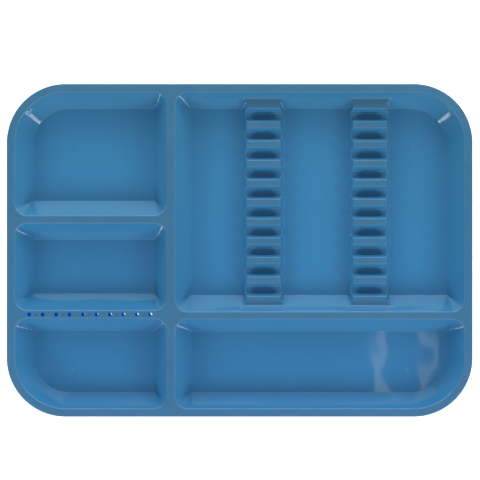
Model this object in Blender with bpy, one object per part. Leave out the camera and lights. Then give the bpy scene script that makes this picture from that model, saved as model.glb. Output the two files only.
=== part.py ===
"""Divided set-up tray for small hand instruments: a one-colour plastic moulding.

Metres, +Z up. The origin is under the middle of the tray, on the surface that its feet stand
on. +X runs along the tray's length, and +Y points to the rim above the upper compartments.
The tray is one moulding in use. Here it is divided at its natural boundaries into a body, two
notched racks, a bur holder and four feet, with a hairline gap between them.
"""

import math
from collections import namedtuple

import bmesh
import bpy

# Overall size
LENGTH = 0.340
WIDTH = 0.243
HEIGHT = 0.0222
WALL = 0.0022               # thickness of the moulded skin
GAP = 0.0003                # hairline between neighbouring solids

# Rim
RIM_LAND = 0.006            # flat top of the rim, outer edge to compartment edge
RIM_RADIUS = 0.043          # corner of the tray, seen from above
LIP_ROUND = 0.0010          # rounding of the rim's outer edge
SKIRT_DEPTH = 0.0052        # how far the rim's outer lip hangs down

# Feet
FOOT_RADIUS = 0.0030
FOOT_HEIGHT = 0.0010
FOOT_CHAMFER = 0.0003
FOOT_X = 0.1248
FOOT_UPPER_Y = 0.0763
FOOT_LOWER_Y = -0.0910

# Dividers: the middle line and the width of the flat top
SPINE_X = -0.0502
SPINE_LAND = 0.0062
LEFT_DIVIDER_Y = 0.0226
LEFT_DIVIDER_LAND = 0.0056
BUR_DIVIDER_Y = -0.0468
BUR_DIVIDER_LAND = 0.0059
RIGHT_DIVIDER_Y = -0.0476
RIGHT_DIVIDER_LAND = 0.0054

# Compartment walls: how far each leans in between the rim and the floor
OUTER_RUN = 0.0095
SPINE_RUN = 0.0104
CROSS_RUN = 0.0115
LOWER_CROSS_RUN = 0.0099
POCKET_RADIUS = 0.0092      # inner corner of a compartment, at the rim
SHARPEST_RADIUS = 0.0004    # the same corner where the walls reach the floor
RIM_FILLET = 0.0020
FLOOR_FILLET = 0.0005

# Racks
RACK_CENTRES_X = {"instrument_rack_left": 0.0174, "instrument_rack_right": 0.0958}
RACK_DROP = 0.0071          # from the rim down to the flat tops between the notches
RACK_TOP_HALF = 0.0123
RACK_FOOT_HALF = 0.0153
RACK_PATCH_HALF = 0.0180    # half the width of a rack with the strip of floor beside it
RACK_END_INSET = 0.0020     # from the rim edge to the end of the rack, across the end wall
RACK_FLARE = 0.0048         # rounding where a rack runs into an end wall
FLARE_PARTS = (0.0, 0.12, 0.4, 1.0)     # where along that rounding a cross-section is set
NOTCH_COUNT = 10
NOTCH_PITCH = 0.0143
NOTCH_DEPTH = 0.0063
NOTCH_MOUTH = 0.0094
NOTCH_BED = 0.0046

# Bur holes
BUR_COUNT = 10
BUR_PITCH = 0.00982
BUR_MIDDLE_X = -0.1093
BUR_HOLE_RADIUS = 0.00145
BUR_TUBE_RADIUS = 0.0029
BUR_TUBE_DEPTH = 0.0150
BUR_FLOOR_STRIP = 0.0010    # strip of floor that belongs to the bur holder

# Facets
CORNER_STEPS = 9            # round a corner of the tray
POCKET_STEPS = 4            # round an inner corner
FILLET_STEPS = 2
HOLE_STEPS = 14
TUBE_STEPS = 16
FOOT_STEPS = 24
SHARP_ANGLE = math.radians(35)

# Guides reach past the tray, above and below
GUIDE_LOW = -HEIGHT
GUIDE_HIGH = 2 * HEIGHT

# Plastic
BLUE = (0.024, 0.19, 0.47, 1.0)
GLOSS_ROUGHNESS = 0.2

# Heights that follow from the sizes above
FLOOR_UNDER = FOOT_HEIGHT + GAP
FLOOR_TOP = FLOOR_UNDER + WALL
DEPTH = HEIGHT - FLOOR_TOP
RACK_TOP = HEIGHT - RACK_DROP
NOTCH_BOTTOM = RACK_TOP - NOTCH_DEPTH
CORE_TOP = NOTCH_BOTTOM - WALL
RACK_DRAFT = (RACK_FOOT_HALF - RACK_TOP_HALF) / (RACK_TOP - FLOOR_TOP)

Pocket = namedtuple("Pocket", "x0 x1 y0 y1 left right lower upper rounded")


def make_pockets():
    """The five compartments: their edges at the rim, the lean of each wall, and the corner
    that follows the tray's own rounded corner, if any."""
    x_min = -LENGTH / 2 + RIM_LAND
    x_max = LENGTH / 2 - RIM_LAND
    y_min = -WIDTH / 2 + RIM_LAND
    y_max = WIDTH / 2 - RIM_LAND
    spine_left = SPINE_X - SPINE_LAND / 2
    spine_right = SPINE_X + SPINE_LAND / 2
    return {
        "upper_left": Pocket(
            x_min, spine_left, LEFT_DIVIDER_Y + LEFT_DIVIDER_LAND / 2, y_max,
            OUTER_RUN, SPINE_RUN, CROSS_RUN, OUTER_RUN, "upper_left"),
        "middle_left": Pocket(
            x_min, spine_left, BUR_DIVIDER_Y + BUR_DIVIDER_LAND / 2,
            LEFT_DIVIDER_Y - LEFT_DIVIDER_LAND / 2,
            OUTER_RUN, SPINE_RUN, CROSS_RUN, CROSS_RUN, None),
        "lower_left": Pocket(
            x_min, spine_left, y_min, BUR_DIVIDER_Y - BUR_DIVIDER_LAND / 2,
            OUTER_RUN, SPINE_RUN, OUTER_RUN, LOWER_CROSS_RUN, "lower_left"),
        "racks": Pocket(
            spine_right, x_max, RIGHT_DIVIDER_Y + RIGHT_DIVIDER_LAND / 2, y_max,
            SPINE_RUN, OUTER_RUN, CROSS_RUN, OUTER_RUN, "upper_right"),
        "long": Pocket(
            spine_right, x_max, y_min, RIGHT_DIVIDER_Y - RIGHT_DIVIDER_LAND / 2,
            SPINE_RUN, OUTER_RUN, OUTER_RUN, LOWER_CROSS_RUN, "lower_right"),
    }


# Loops ---------------------------------------------------------------------------------

def corner_arc(corner_x, corner_y, turn, radius_x, radius_y, steps):
    """Points round one corner of a counter-clockwise outline. The turn is 0 at the lower
    left corner, then 1, 2 and 3 for the lower right, upper right and upper left ones."""
    side_x = 1 if turn in (0, 3) else -1
    side_y = 1 if turn in (0, 1) else -1
    centre_x = corner_x + side_x * radius_x
    centre_y = corner_y + side_y * radius_y
    points = []
    for step in range(steps + 1):
        angle = math.pi + (turn + step / steps) * math.pi / 2
        points.append((centre_x + radius_x * math.cos(angle),
                       centre_y + radius_y * math.sin(angle)))
    return points


def rounded_outline(box, radii, steps):
    """A counter-clockwise rounded rectangle. The box is x0, x1, y0, y1; each corner has an
    (x, y) pair of radii and its own number of steps."""
    x0, x1, y0, y1 = box
    corners = ((x0, y0), (x1, y0), (x1, y1), (x0, y1))
    outline = []
    for turn, (corner_x, corner_y) in enumerate(corners):
        radius_x, radius_y = radii[turn]
        outline += corner_arc(corner_x, corner_y, turn, radius_x, radius_y, steps[turn])
    return outline


def at_height(outline, z):
    return [(x, y, z) for x, y in outline]


def lean(run, thickness):
    """Horizontal width of a wall of this thickness that leans by run over the depth."""
    return thickness * math.hypot(1.0, run / DEPTH)


def pocket_loop(pocket, fraction, z, thickness=0.0):
    """The loop round a compartment, a fraction of the way down its walls. A thickness moves
    it outwards, to the underside of the skin."""
    left, right, lower, upper = (
        run * fraction - lean(run, thickness)
        for run in (pocket.left, pocket.right, pocket.lower, pocket.upper))
    box = (pocket.x0 + left, pocket.x1 - right, pocket.y0 + lower, pocket.y1 - upper)
    insets = ((left, lower), (right, lower), (right, upper), (left, upper))
    names = ("lower_left", "lower_right", "upper_right", "upper_left")
    radii = []
    steps = []
    for name, (inset_x, inset_y) in zip(names, insets):
        big = name == pocket.rounded
        radius = RIM_RADIUS - RIM_LAND if big else POCKET_RADIUS
        radii.append((max(radius - inset_x, SHARPEST_RADIUS),
                      max(radius - inset_y, SHARPEST_RADIUS)))
        steps.append(CORNER_STEPS if big else POCKET_STEPS)
    return at_height(rounded_outline(box, radii, steps), z)


def wall_profile():
    """Pairs of (fraction, z) down a compartment wall, with its two fillets. The wall of mean
    lean stands for all: a fraction of 0 is the rim edge, and 1 the edge of the floor."""
    run = (OUTER_RUN + CROSS_RUN) / 2
    tilt = math.atan2(DEPTH, run)
    profile = []
    for step in range(FILLET_STEPS + 1):
        angle = tilt * step / FILLET_STEPS
        along = RIM_FILLET * (math.sin(angle) - math.tan(tilt / 2))
        down = RIM_FILLET * (1 - math.cos(angle))
        profile.append((along / run, HEIGHT - down))
    for step in range(FILLET_STEPS + 1):
        angle = tilt * (1 - step / FILLET_STEPS)
        along = run + FLOOR_FILLET * (math.tan(tilt / 2) - math.sin(angle))
        up = FLOOR_FILLET * (1 - math.cos(angle))
        profile.append((along / run, FLOOR_TOP + up))
    return profile


# Mesh building -------------------------------------------------------------------------

def add_loop(bm, points):
    """A closed loop of new vertices and edges."""
    verts = [bm.verts.new(point) for point in points]
    for index, vert in enumerate(verts):
        bm.edges.new((vert, verts[(index + 1) % len(verts)]))
    return verts


def bridge(bm, first, second, closed=True):
    """Quads between two rows of as many vertices."""
    count = len(first) if closed else len(first) - 1
    for index in range(count):
        after = (index + 1) % len(first)
        bm.faces.new((first[index], first[after], second[after], second[index]))


def loop_edges(bm, verts):
    return [bm.edges.get((vert, verts[(index + 1) % len(verts)]))
            for index, vert in enumerate(verts)]


def fill_flat(bm, outer, holes):
    """A flat face inside the outer loop and outside the holes."""
    edges = loop_edges(bm, outer)
    for hole in holes:
        edges += loop_edges(bm, hole)
    bmesh.ops.triangle_fill(bm, use_beauty=True, edges=edges)


def new_object(name, bm, material):
    """The finished mesh as an object, with its faces pointing out."""
    bmesh.ops.recalc_face_normals(bm, faces=bm.faces)
    mesh = bpy.data.meshes.new(name)
    bm.to_mesh(mesh)
    bm.free()
    mesh.materials.append(material)
    mesh.shade_smooth()
    mesh.set_sharp_from_angle(angle=SHARP_ANGLE)
    obj = bpy.data.objects.new(name, mesh)
    bpy.context.scene.collection.objects.link(obj)
    return obj


def new_guide(name, bm, material):
    """A wire object that only shapes others, and isn't part of the tray."""
    obj = new_object(name, bm, material)
    obj.hide_render = True
    obj.display_type = "WIRE"
    return obj


def add_boolean(obj, operation, other):
    modifier = obj.modifiers.new(operation.title() + "_" + other.name, "BOOLEAN")
    modifier.operation = operation
    modifier.solver = "EXACT"
    modifier.object = other


def add_prism(bm, outline, low, high):
    """An upright prism over a plan outline."""
    bottom = add_loop(bm, at_height(outline, low))
    top = add_loop(bm, at_height(outline, high))
    bridge(bm, bottom, top)
    bm.faces.new(bottom)
    bm.faces.new(top)


def circle(centre_x, centre_y, radius, steps):
    return [(centre_x + radius * math.cos(2 * math.pi * step / steps),
             centre_y + radius * math.sin(2 * math.pi * step / steps))
            for step in range(steps)]


# The moulded shell ---------------------------------------------------------------------

def rim_outline(inset):
    box = (inset - LENGTH / 2, LENGTH / 2 - inset, inset - WIDTH / 2, WIDTH / 2 - inset)
    radius = RIM_RADIUS - inset
    return rounded_outline(box, [(radius, radius)] * 4, [CORNER_STEPS] * 4)


def add_rim(bm):
    """The rim from its rounded outer edge, down the skirt and up inside it. Returns the two
    loops that its flat top and its flat underside start from."""
    loops = []
    for step in range(FILLET_STEPS + 1):
        angle = math.pi / 2 * step / FILLET_STEPS
        inset = LIP_ROUND * (1 - math.sin(angle))
        z = HEIGHT - LIP_ROUND * (1 - math.cos(angle))
        loops.append(add_loop(bm, at_height(rim_outline(inset), z)))
    for inset, z in ((0.0, HEIGHT - SKIRT_DEPTH),
                     (WALL, HEIGHT - SKIRT_DEPTH),
                     (WALL, HEIGHT - WALL)):
        loops.append(add_loop(bm, at_height(rim_outline(inset), z)))
    for first, second in zip(loops, loops[1:]):
        bridge(bm, first, second)
    return loops[0], loops[-1]


def add_pocket(bm, pocket):
    """Both skins of one compartment. Returns its loops in the rim's top and underside."""
    inside = [add_loop(bm, pocket_loop(pocket, fraction, z))
              for fraction, z in wall_profile()]
    outside = [add_loop(bm, pocket_loop(pocket, down / DEPTH, HEIGHT - down, WALL))
               for down in (WALL, DEPTH + WALL)]
    for loops in (inside, outside):
        for first, second in zip(loops, loops[1:]):
            bridge(bm, first, second)
        bm.faces.new(loops[-1])
    return inside[0], outside[0]


def build_shell(name, pockets, material, make):
    """The whole moulding without racks, feet and bur tubes."""
    bm = bmesh.new()
    top_outer, under_outer = add_rim(bm)
    top_holes = []
    under_holes = []
    for pocket in pockets.values():
        top_hole, under_hole = add_pocket(bm, pocket)
        top_holes.append(top_hole)
        under_holes.append(under_hole)
    fill_flat(bm, top_outer, top_holes)
    fill_flat(bm, under_outer, under_holes)
    return make(name, bm, material)


# Racks ---------------------------------------------------------------------------------

def end_wall_z(pocket, y):
    """Height of the nearer end wall of the rack compartment, without the floor's limit."""
    above = HEIGHT - (pocket.y1 - y) * DEPTH / pocket.upper
    below = HEIGHT - (y - pocket.y0) * DEPTH / pocket.lower
    return max(above, below)


def end_wall_under_z(pocket, y):
    """The same for the underside of the skin."""
    above = HEIGHT - (pocket.y1 - y + lean(pocket.upper, WALL)) * DEPTH / pocket.upper
    below = HEIGHT - (y - pocket.y0 + lean(pocket.lower, WALL)) * DEPTH / pocket.lower
    return max(above, below)


def notch_centres(pocket):
    middle = (pocket.y0 + pocket.y1) / 2
    first = middle - NOTCH_PITCH * (NOTCH_COUNT - 1) / 2
    return [first + NOTCH_PITCH * index for index in range(NOTCH_COUNT)]


def notched_z(pocket, y):
    """Height of a rack's notched top."""
    from_centre = min(abs(y - centre) for centre in notch_centres(pocket))
    rise = (from_centre - NOTCH_BED / 2) / ((NOTCH_MOUTH - NOTCH_BED) / 2)
    return NOTCH_BOTTOM + NOTCH_DEPTH * min(max(rise, 0.0), 1.0)


def rack_half_width(pocket, y, z):
    """Half the width of a rack at this height. It widens towards its foot, and it rounds out
    into an end wall, less and less towards the floor."""
    half = RACK_TOP_HALF + RACK_DRAFT * (RACK_TOP - z)
    radius = RACK_FLARE * min((z - FLOOR_TOP) / (RACK_TOP - FLOOR_TOP), 1.0)
    if radius <= 0.0:
        return half
    to_upper = pocket.y1 - pocket.upper * (HEIGHT - z) / DEPTH - y
    to_lower = y - pocket.y0 - pocket.lower * (HEIGHT - z) / DEPTH
    near = min(max(1 - min(to_upper, to_lower) / radius, 0.0), 1.0)
    return half + radius * (1 - math.sqrt(1 - near * near))


def rack_stations(pocket):
    """The places along Y where the cross-section of a rack is set."""
    stations = []
    for centre in notch_centres(pocket):
        for offset in (-NOTCH_MOUTH / 2, -NOTCH_BED / 2, NOTCH_BED / 2, NOTCH_MOUTH / 2):
            stations.append(centre + offset)
    ends = ((pocket.y1, -1, pocket.upper), (pocket.y0, 1, pocket.lower))
    for edge, inward, run in ends:
        top_meets_wall = RACK_DROP * run / DEPTH
        core_meets_wall = (HEIGHT - CORE_TOP) * run / DEPTH - lean(run, WALL)
        under_floor = run * (1 + WALL / DEPTH) - lean(run, WALL)
        insets = [RACK_END_INSET, core_meets_wall, under_floor, run]
        insets += [top_meets_wall + RACK_FLARE * part for part in FLARE_PARTS]
        stations += [edge + inward * inset for inset in insets]
    return sorted(stations)


def half_section(base, top, half_width):
    """From the edge of the patch to the flat top: points (x, z) of half a cross-section."""
    ease = GAP / 2
    middle = (base + top) / 2
    return [(RACK_PATCH_HALF, base),
            (half_width(base) + ease, base),
            (half_width(middle), middle),
            (half_width(top) - ease, top)]


def rack_row(bm, centre_x, y, half):
    """A row of vertices across the rack from half a section and its mirror image."""
    points = [(-x, z) for x, z in half] + [(x, z) for x, z in reversed(half)]
    return [bm.verts.new((centre_x + x, y, z)) for x, z in points]


def build_rack(name, centre_x, pocket, material):
    """A notched bar, hollow from below, with a strip of floor along each side and its ends
    carried up the end walls."""
    bm = bmesh.new()
    tops = []
    unders = []
    for y in rack_stations(pocket):
        base = max(end_wall_z(pocket, y), FLOOR_TOP)
        top = max(notched_z(pocket, y), base)
        under_base = max(end_wall_under_z(pocket, y), FLOOR_UNDER)
        under_top = max(CORE_TOP, under_base)
        outer = half_section(base, top, lambda z: rack_half_width(pocket, y, z))
        inner = half_section(
            under_base, under_top,
            lambda z: RACK_TOP_HALF + RACK_DRAFT * (RACK_TOP - z) - WALL)
        tops.append(rack_row(bm, centre_x, y, outer))
        unders.append(rack_row(bm, centre_x, y, inner))
    for rows in (tops, unders):
        for first, second in zip(rows, rows[1:]):
            bridge(bm, first, second, closed=False)
    for side in (0, -1):
        bridge(bm, [row[side] for row in tops], [row[side] for row in unders], closed=False)
    for end in (0, -1):
        bridge(bm, tops[end], unders[end], closed=False)
    return new_object(name, bm, material)


def add_rack_room(bm, centre_x, pocket):
    """The upright block of space that a rack and its hairline gap take out of the body."""
    half = RACK_PATCH_HALF + GAP
    low_y = pocket.y0 + RACK_END_INSET - GAP
    high_y = pocket.y1 - RACK_END_INSET + GAP
    outline = [(centre_x - half, low_y), (centre_x + half, low_y),
               (centre_x + half, high_y), (centre_x - half, high_y)]
    add_prism(bm, outline, GUIDE_LOW, GUIDE_HIGH)


# Bur holder ----------------------------------------------------------------------------

def bur_outline(pockets, grow):
    """Plan outline of the bur holder: from the middle of each compartment corner at the rim
    along the mitre to a strip of the floor."""
    above = pockets["middle_left"]
    below = pockets["lower_left"]
    corner = POCKET_RADIUS * (1 - math.sqrt(0.5)) - grow
    strip = BUR_FLOOR_STRIP + grow
    left_foot = above.x0 + above.left + BUR_FLOOR_STRIP - grow
    right_foot = above.x1 - above.right - BUR_FLOOR_STRIP + grow
    upper_foot = above.y0 + above.lower + strip
    lower_foot = below.y1 - below.upper - strip
    upper_rim = above.y0 + corner + 2 * grow
    lower_rim = below.y1 - corner - 2 * grow
    return [(left_foot, lower_foot), (right_foot, lower_foot),
            (above.x1 - corner, lower_rim), (above.x1 - corner, upper_rim),
            (right_foot, upper_foot), (left_foot, upper_foot),
            (above.x0 + corner, upper_rim), (above.x0 + corner, lower_rim)]


def bur_places():
    first = BUR_MIDDLE_X - BUR_PITCH * (BUR_COUNT - 1) / 2
    return [first + BUR_PITCH * index for index in range(BUR_COUNT)]


def add_bur_cylinders(bm, radius, steps, low, high):
    for x in bur_places():
        add_prism(bm, circle(x, BUR_DIVIDER_Y, radius, steps), low, high)


def build_bur_holder(pockets, material):
    """The divider between two left compartments, with a row of tubes under its holes."""
    room = bmesh.new()
    add_prism(room, bur_outline(pockets, 0.0), GUIDE_LOW, GUIDE_HIGH)
    tubes = bmesh.new()
    add_bur_cylinders(tubes, BUR_TUBE_RADIUS, TUBE_STEPS,
                      HEIGHT - BUR_TUBE_DEPTH, HEIGHT - WALL / 2)
    holes = bmesh.new()
    add_bur_cylinders(holes, BUR_HOLE_RADIUS, HOLE_STEPS, GUIDE_LOW, GUIDE_HIGH)
    holder = build_shell("bur_holder", pockets, material, new_object)
    add_boolean(holder, "INTERSECT", new_guide("bur_room", room, material))
    add_boolean(holder, "UNION", new_guide("bur_tubes", tubes, material))
    add_boolean(holder, "DIFFERENCE", new_guide("bur_holes", holes, material))


# Body and feet -------------------------------------------------------------------------

def build_body(pockets, material):
    """The moulding with room cut out of it for the racks and the bur holder."""
    room = bmesh.new()
    for centre_x in RACK_CENTRES_X.values():
        add_rack_room(room, centre_x, pockets["racks"])
    add_prism(room, bur_outline(pockets, GAP), GUIDE_LOW, GUIDE_HIGH)
    body = build_shell("tray_body", pockets, material, new_object)
    add_boolean(body, "DIFFERENCE", new_guide("body_room", room, material))


def build_foot(name, centre_x, centre_y, material):
    """A low round pad with a chamfered sole."""
    bm = bmesh.new()
    levels = ((FOOT_RADIUS - FOOT_CHAMFER, 0.0),
              (FOOT_RADIUS, FOOT_CHAMFER),
              (FOOT_RADIUS, FOOT_HEIGHT))
    loops = [add_loop(bm, at_height(circle(0, 0, radius, FOOT_STEPS), z))
             for radius, z in levels]
    for first, second in zip(loops, loops[1:]):
        bridge(bm, first, second)
    bm.faces.new(loops[0])
    bm.faces.new(loops[-1])
    foot = new_object(name, bm, material)
    foot.location = (centre_x, centre_y, 0.0)


def make_plastic():
    material = bpy.data.materials.new("blue_plastic")
    material.use_nodes = True
    shader = material.node_tree.nodes["Principled BSDF"]
    shader.inputs["Base Color"].default_value = BLUE
    shader.inputs["Roughness"].default_value = GLOSS_ROUGHNESS
    shader.inputs["Metallic"].default_value = 0.0
    return material


def main():
    for obj in list(bpy.data.objects):
        bpy.data.objects.remove(obj)
    plastic = make_plastic()
    pockets = make_pockets()
    build_body(pockets, plastic)
    build_bur_holder(pockets, plastic)
    for name, centre_x in RACK_CENTRES_X.items():
        build_rack(name, centre_x, pockets["racks"], plastic)
    for side, centre_x in (("left", -FOOT_X), ("right", FOOT_X)):
        build_foot("foot_upper_" + side, centre_x, FOOT_UPPER_Y, plastic)
        build_foot("foot_lower_" + side, centre_x, FOOT_LOWER_Y, plastic)


main()
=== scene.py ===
import math

import bmesh
import bpy
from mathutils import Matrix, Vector
from mathutils.geometry import tessellate_polygon


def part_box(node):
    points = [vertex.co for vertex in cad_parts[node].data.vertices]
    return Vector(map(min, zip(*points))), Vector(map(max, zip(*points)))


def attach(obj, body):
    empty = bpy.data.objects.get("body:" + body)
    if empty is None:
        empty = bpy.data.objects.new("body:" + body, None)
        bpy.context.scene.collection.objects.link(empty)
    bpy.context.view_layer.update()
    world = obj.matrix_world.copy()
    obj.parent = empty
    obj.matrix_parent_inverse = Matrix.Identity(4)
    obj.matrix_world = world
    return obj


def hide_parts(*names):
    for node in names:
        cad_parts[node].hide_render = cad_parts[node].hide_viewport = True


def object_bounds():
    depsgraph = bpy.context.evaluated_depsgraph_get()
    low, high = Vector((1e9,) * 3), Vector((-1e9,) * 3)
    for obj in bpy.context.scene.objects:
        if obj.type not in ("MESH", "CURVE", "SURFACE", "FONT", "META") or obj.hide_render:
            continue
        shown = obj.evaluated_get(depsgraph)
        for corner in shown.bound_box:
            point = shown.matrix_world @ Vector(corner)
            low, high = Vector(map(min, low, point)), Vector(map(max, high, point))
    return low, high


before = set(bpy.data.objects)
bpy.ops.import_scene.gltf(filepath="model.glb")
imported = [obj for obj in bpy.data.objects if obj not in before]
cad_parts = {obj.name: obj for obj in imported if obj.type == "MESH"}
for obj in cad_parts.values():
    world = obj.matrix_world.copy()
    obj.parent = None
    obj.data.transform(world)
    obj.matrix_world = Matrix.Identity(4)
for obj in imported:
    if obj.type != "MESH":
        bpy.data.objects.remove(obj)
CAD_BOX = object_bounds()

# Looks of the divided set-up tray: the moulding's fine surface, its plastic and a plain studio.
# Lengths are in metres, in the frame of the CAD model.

# Sizes read from the frame -------------------------------------------------------------

LOW, HIGH = CAD_BOX
HEIGHT = HIGH.z
FOOT_NODES = ("foot_upper_left", "foot_upper_right", "foot_lower_left", "foot_lower_right")
RACK_NODES = ("instrument_rack_left", "instrument_rack_right")
FOOT_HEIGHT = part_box(FOOT_NODES[0])[1].z


def middle(node):
    low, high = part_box(node)
    return (low + high) / 2


def half_size(node):
    low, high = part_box(node)
    return (high - low) / 2


# Sizes shared with the CAD source ------------------------------------------------------
# Each RUN is how far a wall leans in on its way down, and each LAND is the width of a flat top.

GAP = 0.0003                # hairline between the CAD solids, closed here
WALL = 0.0022
RIM_LAND = 0.006
RIM_RADIUS = 0.043
LIP_ROUND = 0.0010
SKIRT_DEPTH = 0.0052
SPINE_X = -0.0502
SPINE_LAND = 0.0062
LEFT_DIVIDER_Y = 0.0226
LEFT_DIVIDER_LAND = 0.0056
BUR_DIVIDER_Y = -0.0468
BUR_DIVIDER_LAND = 0.0059
RIGHT_DIVIDER_Y = -0.0476
RIGHT_DIVIDER_LAND = 0.0054
OUTER_RUN = 0.0095
SPINE_RUN = 0.0104
CROSS_RUN = 0.0115
LOWER_CROSS_RUN = 0.0099
POCKET_RADIUS = 0.0092
SHARPEST_RADIUS = 0.0004
RIM_FILLET = 0.0020
FLOOR_FILLET = 0.0005
RACK_DROP = 0.0071
RACK_TOP_HALF = 0.0123
RACK_FOOT_HALF = 0.0153
RACK_FLARE = 0.0048
NOTCH_COUNT = 10
NOTCH_PITCH = 0.0143
NOTCH_DEPTH = 0.0063
NOTCH_MOUTH = 0.0094
NOTCH_BED = 0.0046
BUR_COUNT = 10
BUR_PITCH = 0.00982
BUR_MIDDLE_X = -0.1093
BUR_HOLE_RADIUS = 0.00145
BUR_TUBE_RADIUS = 0.0029
BUR_TUBE_DEPTH = 0.0150

# Finer detail that only the looks need -------------------------------------------------

UNDER_ROUND_TOP = 0.0006    # inside edge of the channels under the dividers
UNDER_ROUND_FOOT = 0.0026   # outer edge of each compartment's underside
SKIRT_ROUND = 0.0005
NOTCH_EDGE_ROUND = 0.0010
NOTCH_BED_ROUND = 0.0008
RACK_END_ROUND = 0.0016
RACK_EDGE_ROUND = 0.0007
RACK_FOOT_ROUND = 0.0014
CORE_ROUND = 0.0008
HOLE_ROUND = 0.00025
TUBE_EDGE = 0.0004          # rounding at the foot of a bur tube
FOOT_EDGE = 0.00035         # rounding of a foot's sole
FOOT_FLARE = 0.0004         # how a foot widens where it meets the floor
DIMPLE_RADIUS = 0.00145
DIMPLE_DEPTH = 0.0006
DIMPLE_PROFILE = ((0.5, 1.0), (0.8, 0.8), (1.0, 0.0))   # shares of its radius and depth
MARK_RADIUS = 0.0028        # sink marks in the floors over the feet
MARK_DEPTH = 0.00025
MARK_RINGS = (1.0, 0.95, 0.88, 0.78, 0.65, 0.45, 0.2)   # shares of its radius
RACK_END_FRACTION = 0.19    # how far down the end wall a rack begins
RACK_END_UNDER = 0.43       # the same on the underside of the skin
WALL_FRACTIONS = (RACK_END_FRACTION, 0.4, 0.6, 0.8)     # where walls are cut into bands
UNDER_FRACTIONS = (RACK_END_UNDER, 0.55, 0.68, 0.8)

# How finely round shapes are cut -------------------------------------------------------

CORNER_STEPS = 32
POCKET_STEPS = 12
FILLET_STEPS = 6
ARC_STEPS = 5
FLARE_STEPS = 14
HOLE_STEPS = 32
FOOT_STEPS = 48
SIDE_PARTS = (0.0, 0.18, 0.5, 0.82, 1.0)    # the cuts up a rack's side
SHARP_ANGLE = math.radians(40)
FLAT_FACE_WEIGHT = 100      # how far the large faces decide the shading, of 100
CORNERS_PER_METRE = 1e8     # corners that round to the same step are one vertex
PLACE_DIGITS = 8            # the same for the rows of a rack, in decimals of a metre
CLOSEST_ROWS = 2e-6         # of two rows nearer than this, one is left out
NO_LENGTH = 1e-9            # a line this short counts as a point
NO_TURN = 1e-4              # a bend this slight, in radians, isn't rounded
LARGEST_CUT = 0.48          # share of a short side that a rounding may take
EDGE_SLACK = 1e-7           # slack when floor points are sorted into bays
THINNEST = 0.00001          # least width of a facet where a rack dies into a wall

# Sizes that follow from the others -----------------------------------------------------

FLOOR_UNDER = FOOT_HEIGHT + GAP
FLOOR_TOP = FLOOR_UNDER + WALL
DEPTH = HEIGHT - FLOOR_TOP
MEAN_RUN = (OUTER_RUN + CROSS_RUN) / 2
TILT = math.atan2(DEPTH, MEAN_RUN)
RACK_TOP = HEIGHT - RACK_DROP
NOTCH_BOTTOM = RACK_TOP - NOTCH_DEPTH
CORE_TOP = NOTCH_BOTTOM - WALL
RACK_DRAFT = (RACK_FOOT_HALF - RACK_TOP_HALF) / (RACK_TOP - FLOOR_TOP)
RACK_PATCH_HALF = half_size(RACK_NODES[0]).x

# Names ---------------------------------------------------------------------------------

SIDES = ("lower", "right", "upper", "left")     # of a compartment, counter-clockwise
PIECES = {                  # piece and the CAD node that it replaces
    "tray_shell": "tray_body",
    "bur_divider": "bur_holder",
    "rack_left": "instrument_rack_left",
    "rack_right": "instrument_rack_right",
}
BUR_WALLS = (("middle_left", "lower"), ("lower_left", "upper"))     # the bur divider's sides


# Building pieces face by face ----------------------------------------------------------

class Patchwork:
    """The faces of one piece. Corners at the same place are one vertex."""

    def __init__(self):
        self.places = {}
        self.points = []
        self.faces = []

    def corner(self, point):
        key = tuple(round(value * CORNERS_PER_METRE) for value in point)
        if key not in self.places:
            self.places[key] = len(self.points)
            self.points.append(tuple(point))
        return self.places[key]

    def face(self, points):
        corners = []
        for point in points:
            corner = self.corner(point)
            if corner not in corners:
                corners.append(corner)
        if len(corners) > 2:
            self.faces.append(corners)

    def strip(self, first, second, closed=False):
        """Quads between two rows of as many points."""
        count = len(first) if closed else len(first) - 1
        for index in range(count):
            after = (index + 1) % len(first)
            self.face((first[index], first[after], second[after], second[index]))

    def flat(self, outer, holes=()):
        """A flat face inside the outer loop and outside the holes."""
        loops = [[Vector(point) for point in loop] for loop in (outer, *holes)]
        points = [point for loop in loops for point in loop]
        for triangle in tessellate_polygon(loops):
            self.face([points[index] for index in triangle])

    def build(self, name, material):
        mesh = bpy.data.meshes.new(name)
        mesh.from_pydata(self.points, [], self.faces)
        bm = bmesh.new()
        bm.from_mesh(mesh)
        bmesh.ops.recalc_face_normals(bm, faces=bm.faces)
        bm.to_mesh(mesh)
        bm.free()
        mesh.materials.append(material)
        obj = bpy.data.objects.new(name, mesh)
        bpy.context.scene.collection.objects.link(obj)
        return obj


def finish_surface(obj):
    """Smooth shading in which the flat faces stay flat and only the fillets turn."""
    obj.data.shade_smooth()
    obj.data.set_sharp_from_angle(angle=SHARP_ANGLE)
    weighted = obj.modifiers.new("weighted_normals", "WEIGHTED_NORMAL")
    weighted.keep_sharp = True
    weighted.weight = FLAT_FACE_WEIGHT


def at_height(outline, z):
    """A plane outline as points in space."""
    return [(x, y, z) for x, y in outline]


def circle(centre_x, centre_y, radius, steps):
    return [(centre_x + radius * math.cos(2 * math.pi * step / steps),
             centre_y + radius * math.sin(2 * math.pi * step / steps))
            for step in range(steps)]


def turned(work, centre_x, centre_y, profile, steps):
    """A turned solid from pairs of (radius, z), closed at both ends."""
    rings = [at_height(circle(centre_x, centre_y, radius, steps), z) for radius, z in profile]
    for first, second in zip(rings, rings[1:]):
        work.strip(first, second, closed=True)
    work.face(rings[0])
    work.face(rings[-1])


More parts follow.
